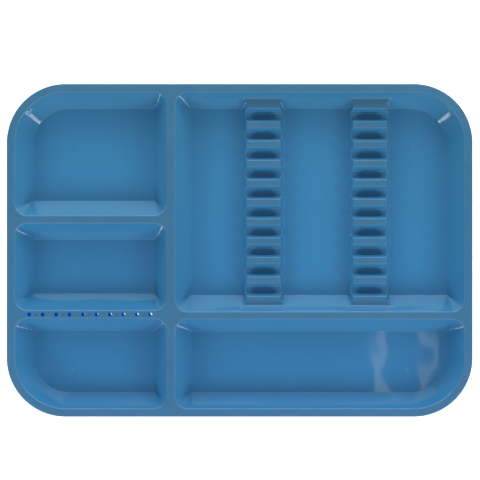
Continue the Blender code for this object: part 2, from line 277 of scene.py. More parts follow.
def rounded_line(points, radii, steps):
    """A plane polyline with its inner corners rounded. A radius shrinks where its corner's
    sides are short."""
    line = [points[0]]
    for before, corner, after, radius in zip(points, points[1:], points[2:], radii):
        back = Vector(before) - Vector(corner)
        ahead = Vector(after) - Vector(corner)
        back_length = back.length
        ahead_length = ahead.length
        shortest = min(back_length, ahead_length)
        turn = math.pi
        if shortest > NO_LENGTH:
            turn = math.pi - back.angle(ahead)
        if radius <= 0.0 or shortest <= NO_LENGTH or turn < NO_TURN:
            line += [corner] * (steps + 1)
            continue
        cut = min(radius * math.tan(turn / 2), LARGEST_CUT * shortest)
        radius = cut / math.tan(turn / 2)
        start = Vector(corner) + back / back_length * cut
        end = Vector(corner) + ahead / ahead_length * cut
        inward = (back / back_length + ahead / ahead_length).normalized()
        centre = Vector(corner) + inward * math.hypot(radius, cut)
        spoke = start - centre
        swing = spoke.angle_signed(end - centre)
        for step in range(steps + 1):
            angle = -swing * step / steps
            line.append((centre.x + spoke.x * math.cos(angle) - spoke.y * math.sin(angle),
                         centre.y + spoke.x * math.sin(angle) + spoke.y * math.cos(angle)))
    line.append(points[-1])
    return line


def height_on(line, place):
    """Height of a polyline of (place, height) pairs, in order of place."""
    for (start, start_z), (end, end_z) in zip(line, line[1:]):
        if place <= end:
            share = (place - start) / max(end - start, NO_LENGTH)
            return start_z + (end_z - start_z) * min(max(share, 0.0), 1.0)
    return line[-1][1]


# Compartments --------------------------------------------------------------------------

class Pocket:
    """One compartment: its edges at the rim, the lean of its walls in the order of SIDES, the
    corner that follows the tray's own, and the places along X where its long sides are cut."""

    def __init__(self, x, y, runs, rounded, stops=()):
        self.x0, self.x1 = x
        self.y0, self.y1 = y
        self.runs = dict(zip(SIDES, runs))
        self.rounded = rounded
        self.stops = stops

    def sides(self, fraction, z, thickness=0.0):
        """The loop a fraction of the way down the walls, as four rows of points that share
        the middle of each corner. A thickness moves it out to the skin's underside."""
        inset = {side: run * fraction - lean(run, thickness)
                 for side, run in self.runs.items()}
        x0 = self.x0 + inset["left"]
        x1 = self.x1 - inset["right"]
        y0 = self.y0 + inset["lower"]
        y1 = self.y1 - inset["upper"]
        corners = (("lower_left", x0, y0, "left", "lower"),
                   ("lower_right", x1, y0, "right", "lower"),
                   ("upper_right", x1, y1, "right", "upper"),
                   ("upper_left", x0, y1, "left", "upper"))
        arcs = []
        for turn, (name, x, y, side_x, side_y) in enumerate(corners):
            big = name == self.rounded
            radius = RIM_RADIUS - RIM_LAND if big else POCKET_RADIUS
            steps = CORNER_STEPS if big else POCKET_STEPS
            arcs.append(corner_arc(x, y, turn,
                                   max(radius - inset[side_x], SHARPEST_RADIUS),
                                   max(radius - inset[side_y], SHARPEST_RADIUS), steps))
        rows = {}
        for turn, side in enumerate(SIDES):
            arc = arcs[turn]
            following = arcs[(turn + 1) % 4]
            cuts = []
            if side == "lower":
                cuts = [(stop, y0) for stop in self.stops]
            if side == "upper":
                cuts = [(stop, y1) for stop in reversed(self.stops)]
            row = arc[len(arc) // 2:] + cuts + following[:len(following) // 2 + 1]
            rows[side] = at_height(row, z)
        return rows


def lean(run, thickness):
    """Horizontal width of a wall of this thickness that leans by run over the depth."""
    return thickness * math.hypot(1.0, run / DEPTH)


def corner_arc(corner_x, corner_y, turn, radius_x, radius_y, steps):
    """Points round one corner of a counter-clockwise outline, from the lower left, turn 0."""
    side_x = 1 if turn in (0, 3) else -1
    side_y = 1 if turn in (0, 1) else -1
    centre_x = corner_x + side_x * radius_x
    centre_y = corner_y + side_y * radius_y
    points = []
    for step in range(steps + 1):
        angle = math.pi + (turn + step / steps) * math.pi / 2
        points.append((centre_x + radius_x * math.cos(angle),
                       centre_y + radius_y * math.sin(angle)))
    return points


def make_pockets():
    x_min = LOW.x + RIM_LAND
    x_max = HIGH.x - RIM_LAND
    y_min = LOW.y + RIM_LAND
    y_max = HIGH.y - RIM_LAND
    spine_left = SPINE_X - SPINE_LAND / 2
    spine_right = SPINE_X + SPINE_LAND / 2
    stops = []
    for node in RACK_NODES:
        stops += [middle(node).x - RACK_PATCH_HALF, middle(node).x + RACK_PATCH_HALF]
    return {
        "upper_left": Pocket(
            (x_min, spine_left), (LEFT_DIVIDER_Y + LEFT_DIVIDER_LAND / 2, y_max),
            (CROSS_RUN, SPINE_RUN, OUTER_RUN, OUTER_RUN), "upper_left"),
        "middle_left": Pocket(
            (x_min, spine_left),
            (BUR_DIVIDER_Y + BUR_DIVIDER_LAND / 2, LEFT_DIVIDER_Y - LEFT_DIVIDER_LAND / 2),
            (CROSS_RUN, SPINE_RUN, CROSS_RUN, OUTER_RUN), None),
        "lower_left": Pocket(
            (x_min, spine_left), (y_min, BUR_DIVIDER_Y - BUR_DIVIDER_LAND / 2),
            (OUTER_RUN, SPINE_RUN, LOWER_CROSS_RUN, OUTER_RUN), "lower_left"),
        "racks": Pocket(
            (spine_right, x_max), (RIGHT_DIVIDER_Y + RIGHT_DIVIDER_LAND / 2, y_max),
            (CROSS_RUN, OUTER_RUN, OUTER_RUN, SPINE_RUN), "upper_right", stops),
        "long": Pocket(
            (spine_right, x_max), (y_min, RIGHT_DIVIDER_Y - RIGHT_DIVIDER_LAND / 2),
            (OUTER_RUN, OUTER_RUN, LOWER_CROSS_RUN, SPINE_RUN), "lower_right"),
    }


POCKETS = make_pockets()


def wall_profile(start, end, first_round, last_round, between):
    """Pairs of (fraction, z) down a wall from start to end, two such pairs, with a fillet at
    each and plain steps between them at the fractions given."""
    def bend(corner, radius, sign):
        rows = []
        for step in range(FILLET_STEPS + 1):
            part = step / FILLET_STEPS if sign > 0 else 1 - step / FILLET_STEPS
            angle = TILT * part
            along = sign * radius * (math.sin(angle) - math.tan(TILT / 2))
            rise = sign * radius * (1 - math.cos(angle))
            rows.append((corner[0] + along / MEAN_RUN, corner[1] - rise))
        return rows

    slope = (end[1] - start[1]) / (end[0] - start[0])
    plain = [(fraction, start[1] + slope * (fraction - start[0])) for fraction in between]
    return bend(start, first_round, 1) + plain + bend(end, last_round, -1)


TOP_LEVELS = wall_profile((0.0, HEIGHT), (1.0, FLOOR_TOP), RIM_FILLET, FLOOR_FILLET,
                          WALL_FRACTIONS)
UNDER_LEVELS = wall_profile((WALL / DEPTH, HEIGHT - WALL), (1.0 + WALL / DEPTH, FLOOR_UNDER),
                            UNDER_ROUND_TOP, UNDER_ROUND_FOOT, UNDER_FRACTIONS)
RACK_LEVEL = FILLET_STEPS + 1       # the level at which a rack begins, in both skins


# The two skins -------------------------------------------------------------------------

def skin_rows(levels, thickness):
    """The four sides of every compartment at each level of one skin."""
    return {name: [pocket.sides(fraction, z, thickness) for fraction, z in levels]
            for name, pocket in POCKETS.items()}


def add_walls(works, rows):
    """The walls of every compartment, each side to the piece that it belongs to."""
    for name, levels in rows.items():
        stops = POCKETS[name].stops
        for side in SIDES:
            owner = "bur_divider" if (name, side) in BUR_WALLS else "tray_shell"
            cut = stops and side in ("lower", "upper")
            for number, (first, second) in enumerate(zip(levels, levels[1:])):
                above = first[side]
                below = second[side]
                if not cut or number < RACK_LEVEL:
                    works[owner].strip(above, below)
                    continue
                for index in range(len(above) - 1):
                    centre = (above[index][0] + above[index + 1][0]) / 2
                    if not under_rack(centre, stops):
                        works[owner].strip(above[index:index + 2], below[index:index + 2])


def under_rack(x, stops):
    return any(start < x < end for start, end in zip(stops[::2], stops[1::2]))


def loop_of(sides, names=SIDES):
    """The points of some sides in order, each shared corner once."""
    points = []
    for name in names:
        points += sides[name][:-1]
    return points


def add_floors(work, rows, marks=()):
    """The floors, with room left for the racks, and a shallow round mark where one is set."""
    for name, levels in rows.items():
        loop = loop_of(levels[-1])
        edges = [-math.inf] + list(POCKETS[name].stops) + [math.inf]
        for start, end in zip(edges[::2], edges[1::2]):
            bay = [point for point in loop
                   if start - EDGE_SLACK <= point[0] <= end + EDGE_SLACK]
            low_x = min(point[0] for point in bay)
            high_x = max(point[0] for point in bay)
            low_y = min(point[1] for point in bay)
            high_y = max(point[1] for point in bay)
            holes = []
            for x, y in marks:
                if low_x < x < high_x and low_y < y < high_y:
                    holes.append(add_mark(work, x, y, bay[0][2]))
            work.flat(bay, holes)


def add_mark(work, x, y, z):
    """A shallow round dish. Returns its edge."""
    profile = [(MARK_RADIUS * part, z - MARK_DEPTH * (1 - part ** 4) ** 2)
               for part in MARK_RINGS]
    rings = [at_height(circle(x, y, radius, HOLE_STEPS), height) for radius, height in profile]
    for first, second in zip(rings, rings[1:]):
        work.strip(first, second, closed=True)
    work.face(rings[-1])
    return rings[0]


def add_lands(works, rows, outer):
    """The flat tops of the rim and dividers, or the ceiling of the channels under them."""
    first = {name: levels[0] for name, levels in rows.items()}
    above = first["middle_left"]
    below = first["lower_left"]
    around_burs = (loop_of(above, ("right", "upper", "left")) + [above["left"][-1]]
                   + loop_of(below, ("left", "lower", "right")) + [below["right"][-1]])
    holes = [loop_of(first[name]) for name in ("upper_left", "racks", "long")]
    works["tray_shell"].flat(outer, holes + [around_burs])
    works["bur_divider"].flat(above["lower"] + below["upper"])


def rim_outline(inset):
    """The tray's outline seen from above, moved in."""
    box = (LOW.x + inset, HIGH.x - inset, LOW.y + inset, HIGH.y - inset)
    corners = ((box[0], box[2]), (box[1], box[2]), (box[1], box[3]), (box[0], box[3]))
    radius = RIM_RADIUS - inset
    outline = []
    for turn, (x, y) in enumerate(corners):
        outline += corner_arc(x, y, turn, radius, radius, CORNER_STEPS)
    return outline


def add_rim(work):
    """The rim's rounded lip and its skirt. Returns the loops that the flats begin from."""
    sharp = [(RIM_LAND / 2, HEIGHT), (0.0, HEIGHT), (0.0, HEIGHT - SKIRT_DEPTH),
             (WALL, HEIGHT - SKIRT_DEPTH), (WALL, HEIGHT - WALL), (RIM_LAND / 2, HEIGHT - WALL)]
    radii = (LIP_ROUND, SKIRT_ROUND, SKIRT_ROUND, SKIRT_ROUND)
    profile = rounded_line(sharp, radii, FILLET_STEPS)[1:-1]
    rings = [at_height(rim_outline(inset), z) for inset, z in profile]
    for first, second in zip(rings, rings[1:]):
        work.strip(first, second, closed=True)
    return rings[0], rings[-1]


def column(levels, side, index):
    """One point of a side at every level."""
    return [level[side][index] for level in levels]


def close_bur_divider(works, tops, unders):
    """The hidden faces between the bur divider and the rest of the tray."""
    seams = []
    for name, side in BUR_WALLS:
        for index in (0, -1):
            seams.append((column(tops[name], side, index), column(unders[name], side, index)))
        seams.append((tops[name][-1][side], unders[name][-1][side]))
    for above_index, below_index in ((0, -1), (-1, 0)):
        ends = []
        for rows in (tops, unders):
            ends.append([rows["middle_left"][0]["lower"][above_index],
                         rows["lower_left"][0]["upper"][below_index]])
        seams.append(ends)
    for top, under in seams:
        for name in ("tray_shell", "bur_divider"):
            works[name].strip(top, under)


# Racks ---------------------------------------------------------------------------------

def end_line(pocket, levels, thickness):
    """The (y, z) line along a rack's border: down one end wall, along the floor, up the
    other."""
    low = []
    high = []
    for fraction, z in levels[RACK_LEVEL:]:
        low.append((pocket.y0 + pocket.runs["lower"] * fraction
                    - lean(pocket.runs["lower"], thickness), z))
        high.append((pocket.y1 - pocket.runs["upper"] * fraction
                     + lean(pocket.runs["upper"], thickness), z))
    return low + high[::-1]


def wall_at(line, z, from_end):
    """The place on the straight part of an end wall at a height."""
    (start, start_z), (end, end_z) = (line[-1], line[-2]) if from_end else line[:2]
    return start + (end - start) * (z - start_z) / (end_z - start_z)


def notched_line(border):
    """The (y, z) line along the middle of a rack's top, with its ten notches."""
    low_end = wall_at(border, RACK_TOP, False)
    high_end = wall_at(border, RACK_TOP, True)
    points = [border[0], (low_end, RACK_TOP)]
    radii = [RACK_END_ROUND]
    middle_y = (POCKETS["racks"].y0 + POCKETS["racks"].y1) / 2
    for index in range(NOTCH_COUNT):
        centre = middle_y + NOTCH_PITCH * (index - (NOTCH_COUNT - 1) / 2)
        points += [(centre - NOTCH_MOUTH / 2, RACK_TOP), (centre - NOTCH_BED / 2, NOTCH_BOTTOM),
                   (centre + NOTCH_BED / 2, NOTCH_BOTTOM), (centre + NOTCH_MOUTH / 2, RACK_TOP)]
        radii += [NOTCH_EDGE_ROUND, NOTCH_BED_ROUND, NOTCH_BED_ROUND, NOTCH_EDGE_ROUND]
    points += [(high_end, RACK_TOP), border[-1]]
    radii.append(RACK_END_ROUND)
    return rounded_line(points, radii, ARC_STEPS)


def core_line(border):
    """The same for the ceiling of the hollow under a rack."""
    points = [border[0], (wall_at(border, CORE_TOP, False), CORE_TOP),
              (wall_at(border, CORE_TOP, True), CORE_TOP), border[-1]]
    return rounded_line(points, [CORE_ROUND, CORE_ROUND], ARC_STEPS)


def rack_half_width(y, z):
    """Half a rack's width at a height: its draft, and its rounding into an end wall."""
    pocket = POCKETS["racks"]
    half = RACK_TOP_HALF + RACK_DRAFT * (RACK_TOP - min(z, RACK_TOP))
    radius = RACK_FLARE * min((z - FLOOR_TOP) / (RACK_TOP - FLOOR_TOP), 1.0)
    if radius <= 0.0:
        return half
    drop = (HEIGHT - z) / DEPTH
    to_upper = pocket.y1 - pocket.runs["upper"] * drop - y
    to_lower = y - pocket.y0 - pocket.runs["lower"] * drop
    near = min(max(1 - min(to_upper, to_lower) / radius, 0.0), 1.0)
    return half + radius * (1 - math.sqrt(1 - near * near))


def core_half_width(y, z):
    """The same for the hollow under it, which has no rounding at its ends."""
    return RACK_TOP_HALF + RACK_DRAFT * (RACK_TOP - z) - WALL


def rack_row(centre_x, y, base, top, half_width, foot_round, edge_round):
    """A row of points across a rack, from one edge of its strip of floor to the other: half
    of it up to the flat top, and its mirror image."""
    top = max(top, base)
    sharp = [(RACK_PATCH_HALF, base)]
    for part in SIDE_PARTS:
        z = base + (top - base) * part
        sharp.append((half_width(y, z), z))
    sharp.append((0.0, top))
    line = [sharp[0]]
    line += rounded_line(sharp[:3], [foot_round], ARC_STEPS)[1:-1]
    line += sharp[2:-2]
    line += rounded_line(sharp[-3:], [edge_round], ARC_STEPS)[1:-1]
    half = [line[0]]
    for x, z in line[1:]:
        half.append((min(x, half[-1][0] - THINNEST), z))
    return ([(centre_x - x, y, z) for x, z in half]
            + [(centre_x + x, y, z) for x, z in reversed(half)])


def rack_stations(*lines):
    """The places along Y of a rack's rows: every corner of the lines given, and finer steps
    where its sides round out into the end walls."""
    places = {round(y, PLACE_DIGITS) for line in lines for y, z in line}
    low = wall_at(lines[0], RACK_TOP, False)
    high = wall_at(lines[0], RACK_TOP, True)
    for step in range(FLARE_STEPS + 1):
        reach = RACK_FLARE * (1 - math.cos(math.pi / 2 * step / FLARE_STEPS))
        places.add(round(low + reach, PLACE_DIGITS))
        places.add(round(high - reach, PLACE_DIGITS))
    ordered = sorted(places)
    return [y for y, after in zip(ordered, ordered[1:] + [math.inf])
            if after - y > CLOSEST_ROWS]


def add_rack(work, shell, centre_x):
    """One rack with its strip of floor and its two ends, and the same border in the shell."""
    pocket = POCKETS["racks"]
    left = centre_x - RACK_PATCH_HALF
    right = centre_x + RACK_PATCH_HALF
    border = end_line(pocket, TOP_LEVELS, 0.0)
    under_border = end_line(pocket, UNDER_LEVELS, WALL)
    notches = notched_line(border)
    core = core_line(under_border)
    tops = [rack_row(centre_x, y, height_on(border, y), height_on(notches, y),
                     rack_half_width, RACK_FOOT_ROUND, RACK_EDGE_ROUND)
            for y in rack_stations(border, notches)]
    unders = [rack_row(centre_x, y, height_on(under_border, y), height_on(core, y),
                       core_half_width, CORE_ROUND, CORE_ROUND)
              for y in rack_stations(under_border, core)]
    for rows in (tops, unders):
        for first, second in zip(rows, rows[1:]):
            work.strip(first, second)
    for side in (0, -1):
        work.face([row[side] for row in tops] + [row[side] for row in reversed(unders)])
    for end in (0, -1):
        work.face(tops[end] + unders[end][::-1])
    for x in (left, right):
        shell.face([(x, y, z) for y, z in border + under_border[::-1]])
    for end in (0, -1):
        top_y, top_z = border[end]
        under_y, under_z = under_border[end]
        shell.face([(left, top_y, top_z), (right, top_y, top_z),
                    (right, under_y, under_z), (left, under_y, under_z)])


# Bur tubes, holes and dimples ----------------------------------------------------------

def bur_places():
    """The places of the ten holes along X."""
    first = BUR_MIDDLE_X - BUR_PITCH * (BUR_COUNT - 1) / 2
    return [first + BUR_PITCH * index for index in range(BUR_COUNT)]


def bur_tubes():
    """Ten short tubes under the divider, one round each hole."""
    work = Patchwork()
    foot = HEIGHT - BUR_TUBE_DEPTH
    profile = [(BUR_TUBE_RADIUS - TUBE_EDGE, foot),
               (BUR_TUBE_RADIUS - TUBE_EDGE / 4, foot + TUBE_EDGE / 4),
               (BUR_TUBE_RADIUS, foot + TUBE_EDGE), (BUR_TUBE_RADIUS, HEIGHT - WALL / 2)]
    for x in bur_places():
        turned(work, x, BUR_DIVIDER_Y, profile, HOLE_STEPS)
    return work


def hole_cutters():
    """Ten holes with rounded mouths, right through the divider and its tubes."""
    work = Patchwork()
    hole = [(BUR_HOLE_RADIUS, FLOOR_UNDER)]
    for step in range(ARC_STEPS + 1):
        angle = math.pi / 2 * step / ARC_STEPS
        hole.append((BUR_HOLE_RADIUS + HOLE_ROUND * (1 - math.cos(angle)),
                     HEIGHT - HOLE_ROUND * (1 - math.sin(angle))))
    hole.append((BUR_HOLE_RADIUS + HOLE_ROUND, HEIGHT + WALL))
    for x in bur_places():
        turned(work, x, BUR_DIVIDER_Y, hole, HOLE_STEPS)
    return work


def dimple_cutters():
    """Five shallow dimples, each between two holes of a pair."""
    work = Patchwork()
    places = bur_places()
    dimple = [(DIMPLE_RADIUS * wide, HEIGHT - DIMPLE_DEPTH * deep)
              for wide, deep in DIMPLE_PROFILE]
    dimple.append((DIMPLE_RADIUS, HEIGHT + WALL))
    for left, right in zip(places[::2], places[1::2]):
        turned(work, (left + right) / 2, BUR_DIVIDER_Y, dimple, HOLE_STEPS)
    return work


def apply_boolean(obj, operation, work, material):
    """Joins or cuts with the faces of a patchwork, and leaves plain mesh behind."""
    other = work.build("boolean_tool", material)
    modifier = obj.modifiers.new("boolean", "BOOLEAN")
    modifier.operation = operation
    modifier.solver = "EXACT"
    modifier.material_mode = "TRANSFER"
    modifier.object = other
    graph = bpy.context.evaluated_depsgraph_get()
    mesh = bpy.data.meshes.new_from_object(obj.evaluated_get(graph))
    obj.modifiers.remove(modifier)
    obj.data = mesh
    bpy.data.objects.remove(other)


# Feet ----------------------------------------------------------------------------------

def build_foot(node, material):
    """A moulded pad: a flat sole with a rounded edge, flared where it meets the floor."""
    centre = middle(node)
    radius = half_size(node).x
    angles = [math.pi / 2 * step / ARC_STEPS for step in range(ARC_STEPS + 1)]
    sole = [(radius - FOOT_FLARE - FOOT_EDGE * (1 - math.sin(angle)),
             FOOT_EDGE * (1 - math.cos(angle))) for angle in angles]
    neck = [(radius - FOOT_FLARE * math.cos(angle),
             FLOOR_UNDER - FOOT_FLARE * (1 - math.sin(angle))) for angle in angles]
    work = Patchwork()
    turned(work, centre.x, centre.y, sole + neck, FOOT_STEPS)
    foot = work.build(node + "_pad", material)
    finish_surface(foot)
    return foot


# Shader nodes --------------------------------------------------------------------------

class Graph:
    """The nodes of a material or world. Each method adds one node and returns the socket of
    its result. What it is given may be a number, a colour or another node's socket."""

    def __init__(self, tree):
        self.nodes = tree.nodes
        self.links = tree.links

    def give(self, socket, value):
        if isinstance(value, bpy.types.NodeSocket):
            self.links.new(value, socket)
        elif isinstance(value, tuple):
            socket.default_value = (*value, 1.0)
        else:
            socket.default_value = value

    def coordinates(self, kind):
        return self.nodes.new("ShaderNodeTexCoord").outputs[kind]

    def normal(self):
        return self.nodes.new("ShaderNodeNewGeometry").outputs["Normal"]

    def split(self, vector):
        """The x, y and z of a vector."""
        node = self.nodes.new("ShaderNodeSeparateXYZ")
        self.give(node.inputs["Vector"], vector)
        return [node.outputs[axis] for axis in "XYZ"]

    def noise(self, place, scale, detail):
        node = self.nodes.new("ShaderNodeTexNoise")
        for name, value in (("Vector", place), ("Scale", scale), ("Detail", detail)):
            self.give(node.inputs[name], value)
        return node.outputs["Fac"]

    def ranged(self, value, before, after):
        """One range of values mapped onto another, and held at both ends."""
        node = self.nodes.new("ShaderNodeMapRange")
        names = ("Value", "From Min", "From Max", "To Min", "To Max")
        for name, given in zip(names, (value, *before, *after)):
            self.give(node.inputs[name], given)
        return node.outputs["Result"]

    def mask(self, value, limits):
        """0 up to the first limit and 1 from the second."""
        return self.ranged(value, limits, (0.0, 1.0))

    def maths(self, operation, *values):
        node = self.nodes.new("ShaderNodeMath")
        node.operation = operation
        for socket, value in zip(node.inputs, values):
            self.give(socket, value)
        return node.outputs["Value"]

    def product(self, first, *others):
        for other in others:
            first = self.maths("MULTIPLY", first, other)
        return first

    def mixed(self, first, second, factor, blend="MIX"):
        node = self.nodes.new("ShaderNodeMix")
        node.data_type = "RGBA"
        node.blend_type = blend
        for name, value in (("Factor", factor), ("A", first), ("B", second)):
            self.give(node.inputs[name], value)
        return node.outputs["Result"]

    def brightened(self, colour, value):
        node = self.nodes.new("ShaderNodeHueSaturation")
        self.give(node.inputs["Color"], colour)
        self.give(node.inputs["Value"], value)
        return node.outputs["Color"]

    def bumped(self, height, distance, normal=None):
        node = self.nodes.new("ShaderNodeBump")
        self.give(node.inputs["Height"], height)
        self.give(node.inputs["Distance"], distance)
        if normal is not None:
            self.give(node.inputs["Normal"], normal)
        return node.outputs["Normal"]


def new_material(name):
    """An empty material, its graph and the sockets of its shader."""
    material = bpy.data.materials.new(name)
    material.use_nodes = True
    graph = Graph(material.node_tree)
    return material, graph, graph.nodes["Principled BSDF"].inputs


# Materials -----------------------------------------------------------------------------

FLOOR_BLUE = (0.027, 0.166, 0.350)
# painted light: walls are a lighter blue than the floors, and lands a greyer, darker blue, for
# the light that passes through the plastic
WALL_LIT_BLUE = (0.035, 0.174, 0.345)
LAND_SHADED_BLUE = (0.024, 0.120, 0.234)
# painted shade: the dark blue laid into the middle of each notch's bed
BED_SHADED_BLUE = (0.003, 0.108, 0.260)
# painted light: the bur holes' brighter blue and their glow stand in for light through the
# plastic
HOLE_LIT_BLUE = (0.003, 0.130, 0.400)
HOLE_PAINTED_GLOW = (0.001, 0.080, 0.360)
LOWER_TINT = (0.99, 1.02, 1.08)     # the colour's slow drift along Y
UPPER_TINT = (1.01, 0.99, 0.94)
PLASTIC_IOR = 1.49
GLOSS_ROUGHNESS = 0.05
LAND_ROUGHNESS = 0.45
HOLE_ROUGHNESS = 0.5
WAVE_HEIGHT = 0.0003
GRAIN_HEIGHT = 0.000004

# Scale and detail of each noise, and the ranges that they are mapped to
DRIFT_NOISE = (14.0, 3.0)
GLOSS_NOISE = (55.0, 4.0)
WAVE_NOISE = (32.0, 1.0)
GRAIN_NOISE = (2200.0, 2.0)
HOLE_NOISE = (90.0, 2.0)
COMMON_NOISE = (0.3, 0.7)           # where most of a noise's values lie
COLOUR_DRIFT = (0.97, 1.03)
GLOSS_DRIFT = (0.85, 1.15)
GRAIN_SHARE = (0.15, 1.0)           # off the lands and on them
HOLE_STRENGTH = (0.3, 0.7)          # of the painted glow in the bur holes

# Masks: heights, or the upward part of the normal, at which each is 0 and 1
WHOLE = (0.0, 1.0)
RAISED = (RACK_TOP - 0.003, RACK_TOP - 0.0005)
LEVEL = (0.75, 0.98)
SATIN = (0.58, 0.8)                 # the satin finish reaches a little over the edges
FACING_UP = (0.0, 0.3)
BED_SHADE_LOW_DOWN = (NOTCH_BOTTOM + 0.003, NOTCH_BOTTOM + 0.001)
BED_SHADE_ABOVE_FLOOR = (FLOOR_TOP + 0.001, FLOOR_TOP + 0.002)

BED_SHADE_HALF = 0.0093     # half width of the painted shade patch in a notch's bed
BED_SHADE_DEPTH = 0.0046    # how far the patch fades along the rack
BED_SHADE_SHIFT = 0.0006    # from the bed's upper edge to the patch's middle
BED_SHADE_STEEP = 4.0       # how much faster it fades the other way
BED_SHADE_SQUARE = 4.0      # how square its ends are
BED_SHADE_FADE = (1.4, 0.5)         # the reach at which it begins and is whole
BED_SHADE_INSIDE = 0.001    # it fades out this far from the compartment's lower edge


def painted_bed_shade(graph, x, y, z, upward):
    """How strong the painted shade in the bed of a notch is at a place: a dark patch where
    light reaches least.
    """
    racks = POCKETS["racks"]
    across = [graph.maths("ABSOLUTE", graph.maths("SUBTRACT", x, middle(node).x))
              for node in RACK_NODES]
    across = graph.maths("DIVIDE", graph.maths("MINIMUM", *across), BED_SHADE_HALF)
    bed_edge = (racks.y0 + racks.y1 + NOTCH_PITCH - NOTCH_BED) / 2 + BED_SHADE_SHIFT
    along = graph.maths("SUBTRACT", y, bed_edge)
    along = graph.maths("WRAP", along, NOTCH_PITCH / 2, -NOTCH_PITCH / 2)
    along = graph.maths("DIVIDE", along, BED_SHADE_DEPTH)
    along = graph.maths("MAXIMUM", along, graph.product(along, -BED_SHADE_STEEP))
    reach = graph.maths("ADD", graph.maths("POWER", across, BED_SHADE_SQUARE),
                        graph.product(along, along))
    return graph.product(graph.mask(reach, BED_SHADE_FADE),
                         graph.mask(z, BED_SHADE_LOW_DOWN),
                         graph.mask(z, BED_SHADE_ABOVE_FLOOR),
                         graph.mask(y, (racks.y0, racks.y0 + BED_SHADE_INSIDE)),
                         graph.mask(upward, FACING_UP))


def tray_plastic():
    """Glossy moulded plastic, with painted light in its colour standing in for the light that
    passes through it: the walls are painted a lighter blue than the floors, and the lands of
    the rim, dividers and racks, which have nothing behind them, are painted greyer and darker
    and have a satin finish. The middle of each notch's bed, which light reaches least, has
    painted shade. Colour and gloss drift a little, the surface is faintly wavy, as a mould
    leaves it, with a fine grain."""
    material, graph, shader = new_material("blue_gloss_plastic")
    place = graph.coordinates("Object")
    x, y, z = graph.split(place)
    upward = graph.split(graph.normal())[2]
    raised = graph.mask(z, RAISED)
    level = graph.mask(upward, LEVEL)
    land = graph.product(raised, level)

    # painted light: walls lighter, and lands greyer and darker, than the floors
    lit_and_shaded_tint = graph.mixed(graph.mixed(WALL_LIT_BLUE, FLOOR_BLUE, level), LAND_SHADED_BLUE, land)
    # painted shade in the middle of each notch's bed
    lit_and_shaded_tint = graph.mixed(lit_and_shaded_tint, BED_SHADED_BLUE, painted_bed_shade(graph, x, y, z, upward))
    slow = graph.mixed(LOWER_TINT, UPPER_TINT, graph.mask(y, (LOW.y, HIGH.y)))
    lit_and_shaded_tint = graph.mixed(lit_and_shaded_tint, slow, 1.0, "MULTIPLY")
    drift = graph.ranged(graph.noise(place, *DRIFT_NOISE), COMMON_NOISE, COLOUR_DRIFT)
    graph.give(shader["Base Color"], graph.brightened(lit_and_shaded_tint, drift))

    gloss = graph.ranged(graph.noise(place, *GLOSS_NOISE), COMMON_NOISE, GLOSS_DRIFT)
    satin = graph.product(raised, graph.mask(upward, SATIN))
    finish = graph.ranged(satin, WHOLE, (GLOSS_ROUGHNESS, LAND_ROUGHNESS))
    graph.give(shader["Roughness"], graph.product(gloss, finish))
    graph.give(shader["IOR"], PLASTIC_IOR)

    wave = graph.bumped(graph.noise(place, *WAVE_NOISE), WAVE_HEIGHT)
    grain = graph.product(graph.noise(place, *GRAIN_NOISE),
                          graph.ranged(land, WHOLE, GRAIN_SHARE))
    graph.give(shader["Normal"], graph.bumped(grain, GRAIN_HEIGHT, wave))
    return material


def hole_glow_plastic():
    """The walls of the bur holes, with painted light: a bright blue and a blue glow stand in
    for the light that runs down through the plastic round them, so they look a strong, even
    blue. The glow's strength drifts a little from hole to hole."""
    material, graph, shader = new_material("bur_hole_painted_glow")
    graph.give(shader["Base Color"], HOLE_LIT_BLUE)
    graph.give(shader["Roughness"], HOLE_ROUGHNESS)
    graph.give(shader["Specular IOR Level"], 0.0)
    # painted glow, standing in for light through the plastic
    graph.give(shader["Emission Color"], HOLE_PAINTED_GLOW)
    noise = graph.noise(graph.coordinates("Object"), *HOLE_NOISE)
    graph.give(shader["Emission Strength"], graph.ranged(noise, WHOLE, HOLE_STRENGTH))
    return material


# Studio --------------------------------------------------------------------------------

FLOOR_HALF = 20.0           # so wide that its edge stays out of low views
FLOOR_WHITE = (0.9, 0.9, 0.9)
FLOOR_ROUGHNESS = 0.9
FLOOR_GLOW = 0.8            # the floor is a pale sheet, lit a little from below

TENT_BACK = 2.43            # how bright the tent's walls are
TENT_FRONT = 1.60
TENT_RIGHT = 0.60
TENT_TOP = 0.36
SOFT_WHITE = (0.95, 1.0, 0.92)
WARM_WHITE = (1.0, 0.95, 0.70)
PLAIN_WHITE = (1.0, 1.0, 1.0)

BACK_WALL_Y = 0.45
BACK_WALL_WIDTH = 0.9
BACK_WALL_BANDS = (         # name, lower edge, upper edge, watts
    ("back_wall_high", 0.16, 0.28, 0.92),
    ("back_wall_low", 0.06, 0.16, 1.08),
)
FRONT_PANELS = (            # name, azimuth, elevation, distance, width, height, watts
    ("front_high", -90, 56, 1.5, 1.8, 0.45, 3.8),
    ("right_lamp", -40, 29, 1.3, 0.14, 0.36, 5.0),
    ("left_lamp", -140, 29, 1.3, 0.14, 0.36, 5.0),
)
TUBE_Y = -0.30
TUBE_Z = 0.9
TUBE_LENGTH = 0.36
OVERHEAD_TUBES = (          # name, x, width, watts
    ("overhead_tube", 0.212, 0.022, 0.044),
    ("overhead_slit", 0.287, 0.014, 0.024),
)

CAMERA_DISTANCE = 0.745     # above the rim
CAMERA_X = 0.0134
CAMERA_Y = -0.0056
CAMERA_SHIFT_X = -0.0375
CAMERA_SHIFT_Y = 0.0375
SEEN_WIDTH = 0.3498         # how much of the rim's plane fits across the picture
SENSOR_WIDTH = 36.0         # millimetres, as Blender has it


